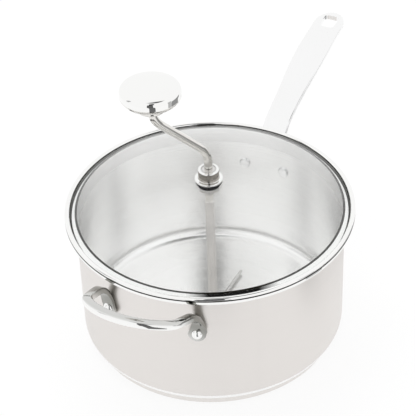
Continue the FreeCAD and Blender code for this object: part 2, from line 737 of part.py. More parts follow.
def knob_base():
    """Lower shell of the knob: a bowl that narrows to a short neck round the rod."""
    thin = KNOB_SHEET
    bush_z = ROD_SHOULDER_Z + AXIAL_GAP
    return at_knob(turned(
        (KNOB_R, KNOB_SEAM_Z),
        ((KNOB_R - 2.2, KNOB_SEAM_Z - 3.6), (KNOB_R - 6.6, KNOB_SEAM_Z - 6.6)),
        ((KNOB_NECK_R + 3.2, KNOB_NECK_TOP_Z + 1.3), (KNOB_NECK_R + 0.6, KNOB_NECK_TOP_Z)),
        (KNOB_NECK_R, KNOB_NECK_TOP_Z - 0.9),
        (KNOB_NECK_R, KNOB_BOTTOM_Z + 1.2),
        ((KNOB_NECK_R - 0.4, KNOB_BOTTOM_Z + 0.4), (KNOB_NECK_R - 1.2, KNOB_BOTTOM_Z)),
        (ROD_R + 0.6, KNOB_BOTTOM_Z),
        (ROD_R + 0.6, bush_z),
        (KNOB_BUSH_R, bush_z),
        (KNOB_BUSH_R, KNOB_NECK_TOP_Z + 1.2),
        (KNOB_NECK_R + 0.2, KNOB_NECK_TOP_Z + 1.2),
        ((KNOB_NECK_R + 2.8, KNOB_NECK_TOP_Z + 2.4), (KNOB_R - 7.2, KNOB_SEAM_Z - 5.8)),
        ((KNOB_R - 3.2, KNOB_SEAM_Z - 3.2), (KNOB_R - thin, KNOB_SEAM_Z))))


def knob_bush():
    """Bearing liner inside the knob, running on the spindle."""
    return at_knob(ring(SPINDLE_R + RUNNING_CLEARANCE, KNOB_BUSH_R, ROD_SHOULDER_Z + AXIAL_GAP,
                        KNOB_BUSH_TOP_Z))


def knob_washer():
    bottom = KNOB_BUSH_TOP_Z + AXIAL_GAP
    return at_knob(ring(SPINDLE_R, KNOB_WASHER_R, bottom, bottom + CLIP_THICK))


def knob_clip():
    return split_clip(SPINDLE_R - 0.5, SPINDLE_R + 1.9, upper_clip_z(), 0, crank_point(CRANK_THROW, 0))


# ------------------------------------------------------------------ stirrer

def stirrer_shaft():
    """Shaft that screws on the rod's stud and carries the hub."""
    top = ROD_JOINT_Z
    shaft = turned(
        (0, SHAFT_BOTTOM_Z), (SHAFT_R, SHAFT_BOTTOM_Z), (SHAFT_R, top - 0.6), (SHAFT_R - 0.5, top), (0, top))
    return shaft.cut(disc(ROD_STUD_R, top - ROD_STUD_LENGTH, top + 1))


def sweep_wire():
    """Wire bent to a long S in one level plane just above the floor."""
    half = [Vector(-SWEEP_TIP[0], -SWEEP_TIP[1], SWEEP_WIRE_Z),
            Vector(-SWEEP_CORNER[0], -SWEEP_CORNER[1], SWEEP_WIRE_Z),
            Vector(-SWEEP_STRAIGHT, 0, SWEEP_WIRE_Z)]
    points = half + [Vector(-point.x, -point.y, point.z) for point in reversed(half)]
    path = bent_path(points, [SWEEP_TIP_BEND_R, SWEEP_HUB_BEND_R, SWEEP_HUB_BEND_R, SWEEP_TIP_BEND_R])
    return round_bar(path, WIRE_R, points[0], points[1] - points[0])


def lift_wire():
    """Shorter wire across the hub that drops to the floor on both sides."""
    half = [Vector(0, -LIFT_REACH, SWEEP_WIRE_Z), Vector(0, -LIFT_FOOT, SWEEP_WIRE_Z),
            Vector(0, -LIFT_CREST, LIFT_WIRE_Z)]
    points = half + [Vector(0, -point.y, point.z) for point in reversed(half)]
    path = bent_path(points, [LIFT_BEND_R] * 4)
    return round_bar(path, WIRE_R, points[0], Vector(0, 1, 0))


def stirrer_hub():
    """Turned hub with a socket for the shaft and a threaded cross hole."""
    hub = turned(
        (0, HUB_BOTTOM_Z), (HUB_R - 2, HUB_BOTTOM_Z),
        ((HUB_R - 0.6, HUB_BOTTOM_Z + 0.6), (HUB_R, HUB_BOTTOM_Z + 2)),
        (HUB_R, HUB_TOP_Z - 1), (HUB_R - 1, HUB_TOP_Z), (0, HUB_TOP_Z))
    hub = hub.cut(disc(SHAFT_R, SHAFT_BOTTOM_Z, HUB_TOP_Z + 1))
    screw = Part.makeCylinder(SET_SCREW_R, HUB_R + 2, Vector(0, 0, SET_SCREW_Z), Vector(1, 0, 0))
    return hub.cut(screw)


def hub_set_screw():
    """Small grub screw that bears on the shaft."""
    length = HUB_R - SHAFT_R - 0.3
    return Part.makeCylinder(SET_SCREW_R, length, Vector(SHAFT_R, 0, SET_SCREW_Z), Vector(1, 0, 0))


# ------------------------------------------------------------------ all pieces

def build():
    glass = lid_glass()
    sweep = sweep_wire()
    lift = lift_wire()
    pieces = {
        "pot_body": pan_body(),
        "base_core": base_core(),
        "base_cladding": base_cladding(),
        "main_handle": main_handle(),
        "main_handle_rivets": main_handle_rivets(),
        "helper_handle": helper_handle(),
        "helper_handle_rivets": helper_handle_rivets(),
        "lid_glass": glass,
        "lid_band": lid_band(glass),
        "bearing_collar": bearing_collar(),
        "shaft_bush": shaft_bush(),
        "collar_gasket": collar_gasket(),
        "lower_gasket": lower_gasket(),
        "clamp_washer": clamp_washer(),
        "lock_nut": lock_nut(),
        "crank_rod": crank_rod(),
        "rod_ring": rod_ring(),
        "stop_washer": stop_washer(),
        "rod_clip": rod_clip(),
        "knob_cap": knob_cap(),
        "knob_base": knob_base(),
        "knob_bush": knob_bush(),
        "knob_washer": knob_washer(),
        "knob_clip": knob_clip(),
        "stirrer_shaft": stirrer_shaft().cut(lift),
        "stirrer_hub": stirrer_hub().cut(sweep).cut(lift),
        "hub_set_screw": hub_set_screw(),
        "sweep_wire": sweep,
        "lift_wire": lift,
    }
    for node, shape in pieces.items():
        solids = len(shape.Solids)
        state = "ok" if shape.isValid() else "INVALID"
        print(f"{node:24s} {state} solids {solids} volume {shape.Volume / 1000:.2f} cm3")
        export(shape, node)


os.makedirs("parts", exist_ok=True)
build()
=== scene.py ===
import math

import bpy
from bpy.props import FloatProperty, FloatVectorProperty, PointerProperty
from mathutils import Matrix, Vector


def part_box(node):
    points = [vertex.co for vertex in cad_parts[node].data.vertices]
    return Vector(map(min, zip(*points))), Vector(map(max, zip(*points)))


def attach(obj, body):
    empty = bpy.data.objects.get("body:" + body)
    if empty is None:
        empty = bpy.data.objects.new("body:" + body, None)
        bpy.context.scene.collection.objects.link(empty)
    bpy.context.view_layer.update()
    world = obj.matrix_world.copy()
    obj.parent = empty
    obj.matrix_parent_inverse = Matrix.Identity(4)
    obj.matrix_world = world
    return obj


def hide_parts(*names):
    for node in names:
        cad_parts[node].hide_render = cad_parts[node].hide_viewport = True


bl_info = {
    "name": "Stovetop Popcorn Popper",
    "version": (1, 0, 0),
    "blender": (4, 5, 0),
    "location": "View3D > Sidebar > Popper",
    "description": "Models a steel popcorn pan with its crank lid round the packed frame",
    "category": "Mesh",
}

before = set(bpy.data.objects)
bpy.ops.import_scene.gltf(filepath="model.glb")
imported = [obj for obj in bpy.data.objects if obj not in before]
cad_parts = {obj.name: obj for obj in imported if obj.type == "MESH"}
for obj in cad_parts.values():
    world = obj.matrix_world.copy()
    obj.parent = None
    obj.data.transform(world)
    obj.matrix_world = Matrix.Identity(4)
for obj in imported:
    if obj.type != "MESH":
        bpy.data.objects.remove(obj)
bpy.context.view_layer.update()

MM = 0.001
UP = Vector((0, 0, 1))
AROUND, AROUND_KNOB, AROUND_COLLAR, AROUND_ROD = 224, 128, 96, 40


def low(node):
    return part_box(node)[0]


def high(node):
    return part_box(node)[1]


def middle(node):
    return (low(node) + high(node)) / 2


def between(start, end, share):
    return start + (end - start) * share


# -------------------- sizes and colours to change

def length(name, default, description):
    return FloatProperty(name=name, default=default, description=description, unit="LENGTH",
                         precision=5)


def paint_colour(name, default, description):
    return FloatVectorProperty(name=name, default=default, description=description, subtype="COLOR",
                               size=3, min=0.0, max=1.0)


class PopperPanSizes(bpy.types.PropertyGroup):
    wall_radius: length("Wall Radius", 0.121, "Outside radius of the straight wall")
    sheet: length("Sheet", 0.001, "Thickness of the drawn steel")
    rim_height: length("Rim Height", high("pot_body").z, "Height of the flared rim's top")
    flare: length("Flare", 0.0055, "Radius of the rim's flare, measured inside")
    corner: length("Corner", 0.012, "Outside radius of the bottom corner")
    underside: length("Underside", low("pot_body").z, "Height of the drawn pan's underside")
    base_radius: length("Base Radius", high("base_cladding").x, "Radius of the clad base")
    base_wall: length("Base Wall", 0.0006, "Thickness of the base's cladding")


class PopperLidSizes(bpy.types.PropertyGroup):
    dome_top: length("Dome Top", 0.1629, "Height that the glass would reach on the axis")
    dome_radius: length("Dome Radius", 0.302, "Radius of the glass's upper face")
    glass_thickness: length("Glass Thickness", 0.004, "Thickness of the glass")
    band_radius: length("Band Radius", high("lid_band").x, "Radius of the band's bead")
    band_lip: length("Band Lip", 0.1261, "Radius at which the band's lip ends over the glass")
    skirt_radius: length("Skirt Radius", 0.1192, "Outside radius of the skirt inside the pan")
    band_sheet: length("Band Sheet", 0.0008, "Thickness of the band's steel")
    lip_gap: length("Lip Gap", 0.0006, "Height of the lip over the glass")


class PopperCrankSizes(bpy.types.PropertyGroup):
    rod_radius: length("Rod Radius", 0.00375, "Radius of the crank's rod")
    spindle_radius: length("Spindle Radius", 0.0025, "Radius of the stud and the knob's spindle")
    throw: length("Throw", 0.0532, "Distance of the knob's axis from the lid's")
    low_bend: length("Low Bend", 0.027, "Radius of the rod's bend over the lid")
    high_bend: length("High Bend", 0.029, "Radius of the rod's bend under the knob")
    knob_radius: length("Knob Radius", (high("knob_cap").x - low("knob_cap").x) / 2,
                        "Radius of the knob")


class PopperHelperSizes(bpy.types.PropertyGroup):
    bar_width: length("Bar Width", 0.009, "Width of the bar, from inside to outside of the loop")
    bar_thickness: length("Bar Thickness", 0.005, "Height of the bar's front")
    bar_crown: length("Bar Crown", 0.0030, "Rounding of the bar's upper edges")
    bar_edge: length("Bar Edge", 0.0007, "Rounding of the bar's lower edges")
    lug_radius: length("Lug Radius", 0.008, "Half width of a lug at its rivet")
    lug_thickness: length("Lug Thickness", 0.004, "Thickness of a lug")
    elbow: length("Elbow", 0.030, "Radius of the bend from a lug to the loop")
    corner: length("Corner", 0.019, "Radius of the loop's two corners")
    front: length("Front", 0.0515, "Radius of the loop's front")


class PopperFinish(bpy.types.PropertyGroup):
    pan_steel: paint_colour("Pan Steel", (0.83, 0.80, 0.775), "Satin steel outside the pan")
    # Partly painted light: the pan's inside is the same brushed steel as its outside, set near white
    # to lift its brightness.
    inner_steel_painted_light: paint_colour("Inner Steel", (0.99, 0.988, 0.98), "Brushed steel inside the pan")
    polished_steel: paint_colour("Polished Steel", (0.93, 0.93, 0.93), "Steel of the long handle")
    chrome: paint_colour("Chrome", (0.93, 0.93, 0.92), "Mirror of the band, knob and helper handle")
    # Painted shade: a darker copy of the chrome for the crank's rod and for the knob's bowl under
    # its cap.
    rod_chrome: paint_colour("Rod Chrome", (0.80, 0.785, 0.755), "Mirror of rod and knob's bowl")
    skirt_steel: paint_colour("Skirt Steel", (0.97, 0.965, 0.96), "Satin steel of the band's skirt")
    # Painted shade: near-black steel in the band's groove and in the hollow of its bead, standing in
    # for the shade in these recesses.
    recess_painted_shade: paint_colour("Raw Steel", (0.025, 0.023, 0.018), "Steel in the groove and bead")
    # Painted shade: the glass's ground edge inside the band is near-black, standing in for the shade
    # in the band's hollow.
    painted_glass_shade: paint_colour("Glass Edge", (0.07, 0.07, 0.055), "Ground edge inside the band")
    # Painted shade: this darker tone is mixed into the helper handle's chrome, standing in for dark
    # reflections.
    handle_painted_shade: paint_colour("Cast Shade", (0.30, 0.30, 0.28), "Darker tone of the helper handle")
    # Painted shade: a darker copy of the collar's chrome for its barrel, standing in for the dark
    # reflection there.
    collar_painted_shade: paint_colour("Collar Side", (0.40, 0.38, 0.35), "Side of the bearing's collar")
    rubber: paint_colour("Rubber", (0.012, 0.012, 0.013), "Seals at the bearing")
    glass: paint_colour("Glass", (0.995, 1.0, 0.998), "Tint of the lid's glass")


# -------------------- outlines

SUPPORT, FINE_SUPPORT = 0.5 * MM, 0.3 * MM


def arc(start, through, end, steps):
    """Points on the circle through three points, from start to end."""
    a, b, c = Vector(start), Vector(through), Vector(end)
    area = 2 * (a.x * (b.y - c.y) + b.x * (c.y - a.y) + c.x * (a.y - b.y))
    squares = a.length_squared, b.length_squared, c.length_squared
    centre = Vector((
        (squares[0] * (b.y - c.y) + squares[1] * (c.y - a.y) + squares[2] * (a.y - b.y)) / area,
        (squares[0] * (c.x - b.x) + squares[1] * (a.x - c.x) + squares[2] * (b.x - a.x)) / area))
    first = math.atan2(a.y - centre.y, a.x - centre.x)
    clockwise = (b - a).cross(c - b) < 0
    sweep = (math.atan2(c.y - centre.y, c.x - centre.x) - first) % (2 * math.pi)
    if clockwise:
        sweep -= 2 * math.pi
    radius = (a - centre).length
    angles = [first + sweep * k / steps for k in range(steps + 1)]
    return [(centre.x + radius * math.cos(angle), centre.y + radius * math.sin(angle))
            for angle in angles]


def rounded(corners, steps):
    """Outline through (radius, height, rounding) corners, with each corner's arc as short runs."""
    points = [tuple(corners[0][:2])]
    for before, corner, after in zip(corners, corners[1:], corners[2:]):
        here = Vector(corner[:2])
        back = (Vector(before[:2]) - here).normalized()
        ahead = (Vector(after[:2]) - here).normalized()
        if corner[2] == 0:
            points.append(tuple(here))
            continue
        half = back.angle(ahead) / 2
        run = corner[2] / math.tan(half)
        deep = here + (back + ahead).normalized() * (corner[2] / math.sin(half) - corner[2])
        points += arc(here + back * run, deep, here + ahead * run, steps)
    points.append(tuple(corners[-1][:2]))
    return points


def supported(points, near=SUPPORT):
    """The same outline with a point close to each end of its long runs, so that they shade flat."""
    result = [points[0]]
    for start, end in zip(points, points[1:]):
        run = Vector(end) - Vector(start)
        if run.length > 6 * near:
            step = run.normalized() * near
            result += [tuple(Vector(start) + step), tuple(Vector(end) - step)]
        result.append(end)
    return result


def dome(inner, outer, top, radius, steps=24):
    """Points along a dome from one distance off the axis to another."""
    spots = [inner + (outer - inner) * k / steps for k in range(steps + 1)]
    return [(spot, top - radius + math.sqrt(radius ** 2 - spot ** 2)) for spot in spots]


# -------------------- shaping in edit mode

DOUBLES = 0.004 * MM
STRAIGHT = 1e-5


def open_piece(name, primitive, **where):
    """Add a primitive under this name and open it for editing, with all of it selected."""
    bpy.ops.object.select_all(action="DESELECT")
    primitive(**where)
    piece = bpy.context.object
    piece.name = name
    piece.data.name = name
    bpy.ops.object.mode_set(mode="EDIT")
    return piece


def select_open_edges():
    bpy.ops.mesh.select_all(action="DESELECT")
    bpy.ops.mesh.select_non_manifold()


def extrude_up(rise):
    bpy.ops.mesh.extrude_edges_move(TRANSFORM_OT_translate={"value": (0, 0, rise)})


def close_piece(piece, sharp=32):
    """Merge doubles, turn faces outwards, leave edit mode and put the origin at the frame's."""
    bpy.ops.mesh.select_all(action="SELECT")
    bpy.ops.mesh.remove_doubles(threshold=DOUBLES)
    bpy.ops.mesh.normals_make_consistent(inside=False)
    bpy.ops.object.mode_set(mode="OBJECT")
    bpy.ops.object.transform_apply(location=True, rotation=True, scale=True)
    bpy.ops.object.shade_smooth_by_angle(angle=math.radians(sharp))
    return piece


def turn(name, outline, around=AROUND, centre=(0.0, 0.0), sharp=32):
    """Turned piece: a circle extruded and scaled through the outline's (radius, height) points."""
    points = list(outline)
    from_pole = points[0][0] == 0
    to_pole = points[-1][0] == 0
    pole_height = points[-1][1]
    if from_pole:
        points = points[1:]
    else:
        points.append(points[0])
    if to_pole:
        points = points[:-1]
    radius, height = points[0]
    piece = open_piece(name, bpy.ops.mesh.primitive_circle_add, vertices=around, radius=radius,
                       fill_type="TRIFAN" if from_pole else "NOTHING", location=(*centre, height))
    if from_pole:
        select_open_edges()
    for next_radius, next_height in points[1:]:
        extrude_up(next_height - height)
        grow = next_radius / radius
        bpy.ops.transform.resize(value=(grow, grow, 1), center_override=(*centre, 0))
        radius, height = next_radius, next_height
    if to_pole:
        extrude_up(pole_height - height)
        bpy.ops.mesh.merge(type="CENTER")
    return close_piece(piece, sharp)


def frame_at(place, along, across):
    """Frame at a point: X runs across the piece, Y through its thickness and Z along it."""
    z = Vector(along).normalized()
    x = (Vector(across) - Vector(across).dot(z) * z).normalized()
    matrix = Matrix((x, z.cross(x), z)).transposed().to_4x4()
    matrix.translation = place
    return matrix


def apply_place():
    """Put the piece's place into its mesh, and select its open edges for the next step."""
    bpy.ops.object.transform_apply(location=True, rotation=True, scale=True)
    bpy.ops.object.mode_set(mode="EDIT")
    select_open_edges()


def carry(old, new, grow=(1.0, 1.0)):
    """Extrude the selected loop from one frame to the next, scaled across and through."""
    shift = new.translation - old.translation
    axis, angle = (new @ old.inverted()).to_quaternion().to_axis_angle()
    if abs(angle) < STRAIGHT:
        bpy.ops.mesh.extrude_edges_move(TRANSFORM_OT_translate={"value": shift})
    else:
        bpy.ops.mesh.spin(steps=1, angle=-angle, center=old.translation, axis=axis)
        bpy.ops.transform.translate(value=shift)
    if grow != (1.0, 1.0):
        rows = [list(row) for row in new.to_3x3().transposed()]
        bpy.ops.transform.resize(value=(*grow, 1), orient_type="GLOBAL", orient_matrix=rows,
                                 orient_matrix_type="GLOBAL", center_override=new.translation)


def bent_frames(points, radii, across, steps):
    """Frames along straight runs joined by arcs, the section kept square to the path."""
    places = [Vector(points[0])]
    for index, radius in enumerate(radii):
        corner = Vector(points[index + 1])
        back = (Vector(points[index]) - corner).normalized()
        ahead = (Vector(points[index + 2]) - corner).normalized()
        half = back.angle(ahead) / 2
        middle_way = (back + ahead).normalized()
        centre = corner + middle_way * (radius / math.sin(half))
        start = corner + back * (radius / math.tan(half)) - centre
        axis = start.cross(-middle_way).normalized()
        for k in range(steps + 1):
            angle = (math.pi - 2 * half) * k / steps
            places.append(centre + Matrix.Rotation(angle, 3, axis) @ start)
    places.append(Vector(points[-1]))
    frames = []
    side = Vector(across)
    last = len(places) - 1
    for k, place in enumerate(places):
        ahead = places[min(k + 1, last)] - places[max(k - 1, 0)]
        if 0 < k < last:
            ahead = (places[k + 1] - place).normalized() + (place - places[k - 1]).normalized()
        frames.append(frame_at(place, ahead, side))
        side = frames[-1].to_3x3().col[0]
    return frames


def flat_bar(name, frames, sizes, crown, edge, segments=6):
    """Bar along a list of frames, crowned on one face, with a width and a thickness at each."""
    piece = open_piece(name, bpy.ops.mesh.primitive_plane_add, size=1)
    widest = max(sizes)
    bpy.ops.transform.resize(value=(*widest, 1))
    edge_side = widest[1] / 2 - edge / 2
    for offset, is_side in ((crown, lambda y: y < 0), (edge, lambda y: y > edge_side)):
        bpy.ops.mesh.select_all(action="DESELECT")
        bpy.ops.object.mode_set(mode="OBJECT")
        for vertex in piece.data.vertices:
            vertex.select = is_side(vertex.co.y)
        bpy.ops.object.mode_set(mode="EDIT")
        bpy.ops.mesh.bevel(offset=offset, segments=segments, affect="VERTICES")
    bpy.ops.mesh.select_all(action="SELECT")
    bpy.ops.transform.resize(value=(sizes[0][0] / widest[0], sizes[0][1] / widest[1], 1))
    bpy.ops.object.mode_set(mode="OBJECT")
    piece.matrix_world = frames[0]
    apply_place()
    for old, new, before, after in zip(frames, frames[1:], sizes, sizes[1:]):
        carry(old, new, (after[0] / before[0], after[1] / before[1]))
    return piece


# -------------------- finishing a piece

def seat(piece, body, nodes, materials):
    """Give the piece its materials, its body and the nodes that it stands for."""
    for material in materials:
        piece.data.materials.append(material)
    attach(piece, body)
    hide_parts(*nodes)


def paint(piece, index, wanted):
    """Give the faces wanted by their centre and normal another of the piece's materials."""
    for face in piece.data.polygons:
        if wanted(face.center, face.normal):
            face.material_index = index


def coat(material, *nodes):
    """Give kept CAD nodes their material."""
    for node in nodes:
        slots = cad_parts[node].data.materials
        slots.clear()
        slots.append(material)


# -------------------- materials

# Most of a noise lies in this span.
NOISE_SPAN = (0.3, 0.7)
GROOVE_PITCH, GROOVE_DEPTH, FINE_GROOVE = 2600, 0.012 * MM, 0.006 * MM
# Within this radius the lid's glass lets light off the pan through.
CLEAR_REACH = 0.1195


def feed(tree, value, socket):
    """Feed a socket from another one, or give it a plain value."""
    if isinstance(value, bpy.types.NodeSocket):
        tree.links.new(value, socket)
    else:
        socket.default_value = value


def add(tree, kind, inputs=(), **settings):
    """New node with its settings, its inputs fed by name or number."""
    node = tree.nodes.new("ShaderNode" + kind)
    for key, value in settings.items():
        setattr(node, key, value)
    for socket, value in dict(inputs).items():
        feed(tree, value, node.inputs[socket])
    return node


def new_material(name):
    material = bpy.data.materials.new(name)
    material.use_nodes = True
    return material, material.node_tree


def object_coordinates(tree):
    return add(tree, "TexCoord").outputs["Object"]


def new_finish(name, metallic):
    """A finish's material, with its tree, shader and object coordinates."""
    material, tree = new_material(name)
    shader = tree.nodes["Principled BSDF"]
    shader.inputs["Metallic"].default_value = metallic
    return material, tree, shader, object_coordinates(tree)


def show(tree, shader):
    """Put a shader on the surface."""
    feed(tree, shader, tree.nodes["Material Output"].inputs["Surface"])


def maths(tree, operation, *values, kind="Math"):
    """Result of one operation on sockets and plain values."""
    return add(tree, kind, enumerate(values), operation=operation).outputs["Value"]


def mixed_colour(tree, share, first, second):
    """Mix of two colours, whose sockets share their names with others and so go by number."""
    mix = add(tree, "Mix", {"Factor": share, 6: first, 7: second}, data_type="RGBA")
    return mix.outputs[2]


def mixed_shader(tree, share, first, second):
    return add(tree, "MixShader", enumerate((share, first, second))).outputs["Shader"]


def spread(tree, source, span, ends, **settings):
    """Value that goes from one end to the other while the source goes through a span."""
    sockets = "From Min", "From Max", "To Min", "To Max", "Value"
    inputs = zip(sockets, (*span, *ends, source))
    return add(tree, "MapRange", inputs, **settings).outputs["Result"]


def scaled(tree, source, scale):
    """The coordinates, stretched along each axis."""
    return add(tree, "Mapping", {"Vector": source, "Scale": scale}).outputs["Vector"]


def off_axis(tree, source):
    """Distance from the pan's axis."""
    return maths(tree, "LENGTH", scaled(tree, source, (1, 1, 0)), kind="VectorMath")


def turned_coordinates(tree, source):
    """Distance from the axis and height, so that a pattern runs round the piece."""
    height = add(tree, "SeparateXYZ", {"Vector": source}).outputs["Z"]
    joined = add(tree, "CombineXYZ", {"X": off_axis(tree, source), "Z": height})
    return joined.outputs["Vector"]


def noise(tree, source, scale, detail):
    cloud = add(tree, "TexNoise", {"Vector": source, "Scale": scale, "Detail": detail})
    return cloud.outputs["Fac"]


def roughened(tree, source, shader, roughness):
    """Roughness that goes between two values with a noise."""
    feed(tree, spread(tree, source, NOISE_SPAN, roughness), shader.inputs["Roughness"])


def tinted(tree, source, shader, colour, darker, lighter):
    """Base colour that drifts with a noise between a darker and a lighter tone."""
    tones = [[min(1, c * tone) for c in colour] + [1] for tone in (darker, lighter)]
    feed(tree, mixed_colour(tree, source, *tones), shader.inputs["Base Color"])


def bumped(tree, source, shader, strength, depth):
    bump = add(tree, "Bump", {"Height": source, "Strength": strength, "Distance": depth})
    feed(tree, bump.outputs["Normal"], shader.inputs["Normal"])


def brushed_metal(name, colour, roughness, depth=GROOVE_DEPTH):
    """Metal with fine grooves that run round the axis."""
    material, tree, shader, source = new_finish(name, metallic=1.0)
    grooves = noise(tree, turned_coordinates(tree, source), scale=GROOVE_PITCH, detail=3.0)
    clouds = noise(tree, source, scale=14, detail=3.0)
    roughened(tree, grooves, shader, roughness)
    tinted(tree, clouds, shader, colour, 0.985, 1.015)
    bumped(tree, grooves, shader, strength=0.35, depth=depth)
    return material


def mirror_metal(name, colour, roughness=(0.025, 0.06), wave=0.01 * MM, wave_scale=60):
    """Polished metal: a clear reflection with faint wiping marks and a hand-polished waviness."""
    material, tree, shader, source = new_finish(name, metallic=1.0)
    marks = noise(tree, scaled(tree, source, (1, 1, 2.5)), scale=90, detail=4.0)
    roughened(tree, marks, shader, roughness)
    tinted(tree, noise(tree, source, scale=30, detail=2.0), shader, colour, 0.99, 1.01)
    waves = noise(tree, source, scale=wave_scale, detail=1.0)
    bumped(tree, waves, shader, strength=0.2, depth=wave)
    return material


def chrome_with_painted_shade(name, colour, shade):
    """Plated casting: a mirror finish with painted shade, darker towards the lugs and on top of the
    loop.
    """
    material = mirror_metal(name, colour, (0.03, 0.08), wave=0.02 * MM, wave_scale=80)
    tree = material.node_tree
    source = object_coordinates(tree)
    shares = []
    for way, span, most in PAINTED_HANDLE_SHADES:
        along = maths(tree, "DOT_PRODUCT", source, way, kind="VectorMath")
        shares.append(spread(tree, along, span, (0.0, most), interpolation_type="SMOOTHSTEP"))
    base_colour = tree.nodes["Principled BSDF"].inputs["Base Color"]
    plain = base_colour.links[0].from_socket
    shaded = mixed_colour(tree, maths(tree, "MAXIMUM", *shares), plain, (*shade, 1))
    feed(tree, shaded, base_colour)
    return material


def long_grain_metal(name, colour, roughness):
    """Polished steel with faint lines along the handle."""
    material, tree, shader, source = new_finish(name, metallic=1.0)
    lines = noise(tree, scaled(tree, source, (1500, 25, 400)), scale=1, detail=2.0)
    roughened(tree, lines, shader, roughness)
    tinted(tree, noise(tree, source, scale=22, detail=2.0), shader, colour, 0.988, 1.012)
    bumped(tree, lines, shader, strength=0.15, depth=0.004 * MM)
    return material


def lid_glass_material(tint):
    """Clear glass with the faintest smears.

    Light from the lamp, and off the inside of the pan below it, passes straight through.
    """
    material, tree, shader, source = new_finish("clear_glass", metallic=0.0)
    shader.inputs["Base Color"].default_value = (*tint, 1)
    shader.inputs["Transmission Weight"].default_value = 1.0
    shader.inputs["IOR"].default_value = 1.5
    roughened(tree, noise(tree, source, scale=18, detail=4.0), shader, (0.0, 0.012))
    ripples = noise(tree, source, scale=9, detail=1.0)
    bumped(tree, ripples, shader, strength=0.1, depth=0.02 * MM)
    path = add(tree, "LightPath").outputs
    within = maths(tree, "LESS_THAN", off_axis(tree, source), CLEAR_REACH)
    leaving = maths(tree, "MULTIPLY", path["Is Reflection Ray"], within)
    passing = maths(tree, "MAXIMUM", path["Is Shadow Ray"], leaving)
    clear = add(tree, "BsdfTransparent").outputs["BSDF"]
    show(tree, mixed_shader(tree, passing, shader.outputs["BSDF"], clear))
    return material


def dull_material(name, colour):
    """Rubber or nylon with a fine grain."""
    material, tree, shader, source = new_finish(name, metallic=0.0)
    grain = noise(tree, source, scale=900, detail=3.0)
    roughened(tree, grain, shader, (0.42, 0.6))
    tinted(tree, grain, shader, colour, 0.7, 1.4)
    bumped(tree, grain, shader, strength=0.3, depth=0.02 * MM)
    return material


# -------------------- pan

def pan_outline(sizes):
    """Half section of the drawn pan, from its underside's middle round to its floor's."""
    outer, sheet, under = sizes.wall_radius, sizes.sheet, sizes.underside
    inner, top = outer - sheet, sizes.rim_height
    lip, lip_edge = high("pot_body").x, sheet * 0.48
    return supported(rounded([
        (0, under, 0),
        (outer, under, sizes.corner),
        (outer, top - sheet, sizes.flare - sheet),
        (lip, top - sheet, lip_edge),
        (lip, top, lip_edge),
        (inner, top, sizes.flare),
        (inner, under + sheet, sizes.corner - sheet),
        (0, under + sheet, 0)], 8))


class POPPER_OT_pan(bpy.types.Operator):
    """Turn the drawn pan with its flared rim and round corner"""
    bl_idname = "popper.pan"
    bl_label = "Pan"

    def execute(self, context):
        sizes = context.scene.popper_pan
        colours = context.scene.popper_finish
        pan = turn("pan", pan_outline(sizes))
        outside = brushed_metal("satin_steel", colours.pan_steel, (0.32, 0.42))
        inside = brushed_metal("inner_steel_painted_light", colours.inner_steel_painted_light, (0.20, 0.30), FINE_GROOVE)
        seat(pan, "pan", ["pot_body"], [outside, inside])
        wall_middle = sizes.wall_radius - sizes.sheet * 0.5
        floor_middle = sizes.underside + sizes.sheet * 0.5
        paint(pan, 1, lambda spot, normal: spot.xy.length < wall_middle and spot.z > floor_middle)
        return {"FINISHED"}


class POPPER_OT_base(bpy.types.Operator):
    """Turn the thin steel cap that closes in the base"""
    bl_idname = "popper.base"
    bl_label = "Base"

    def execute(self, context):
        sizes = context.scene.popper_pan
        colours = context.scene.popper_finish
        outer, wall = sizes.base_radius, sizes.base_wall
        seam = high("base_cladding").z
        heel, seam_edge, inner_heel = 1.5 * MM, 0.25 * MM, 0.6 * MM
        base = turn("base_cap", supported(rounded([
            (0, 0, 0), (outer, 0, heel), (outer, seam, seam_edge), (outer - wall, seam, seam_edge),
            (outer - wall, wall, inner_heel), (0, wall, 0)], 6)))
        material = brushed_metal("base_steel", colours.pan_steel, (0.24, 0.34))
        seat(base, "pan", ["base_cladding"], [material])
        coat(brushed_metal("core_aluminium", (0.86, 0.87, 0.88), (0.35, 0.5)), "base_core")
        return {"FINISHED"}


# -------------------- lid

class POPPER_OT_glass(bpy.types.Operator):
    """Turn the domed glass with its ground edges"""
    bl_idname = "popper.glass"
    bl_label = "Lid Glass"

    def execute(self, context):
        sizes = context.scene.popper_lid
        colours = context.scene.popper_finish
        hole, edge, ground = 8.0 * MM, high("lid_glass").x, 0.4 * MM
        over = dome(hole + ground, edge - ground, sizes.dome_top, sizes.dome_radius)
        under = dome(hole + ground, edge - ground, sizes.dome_top - sizes.glass_thickness,
                     sizes.dome_radius - sizes.glass_thickness)
        outline = over + [(edge, over[-1][1] - 1.5 * ground), (edge, under[-1][1] + ground)]
        outline += under[::-1] + [(hole, under[0][1] + ground), (hole, over[0][1] - ground)]
        glass = turn("glass_dome", outline)
        clear = lid_glass_material(colours.glass)
        painted_edge_shade = brushed_metal("painted_edge_shade", colours.painted_glass_shade, (0.5, 0.7))
        seat(glass, "lid", ["lid_glass"], [clear, painted_edge_shade])
        # Painted shade: the glass's edge faces take the near-black finish.
        paint(glass, 1, lambda spot, normal: spot.xy.length > edge - 0.3 * MM)
        return {"FINISHED"}


# Radius at which the hollow inside the band's bead begins.
HOLLOW_START = 126.6 * MM


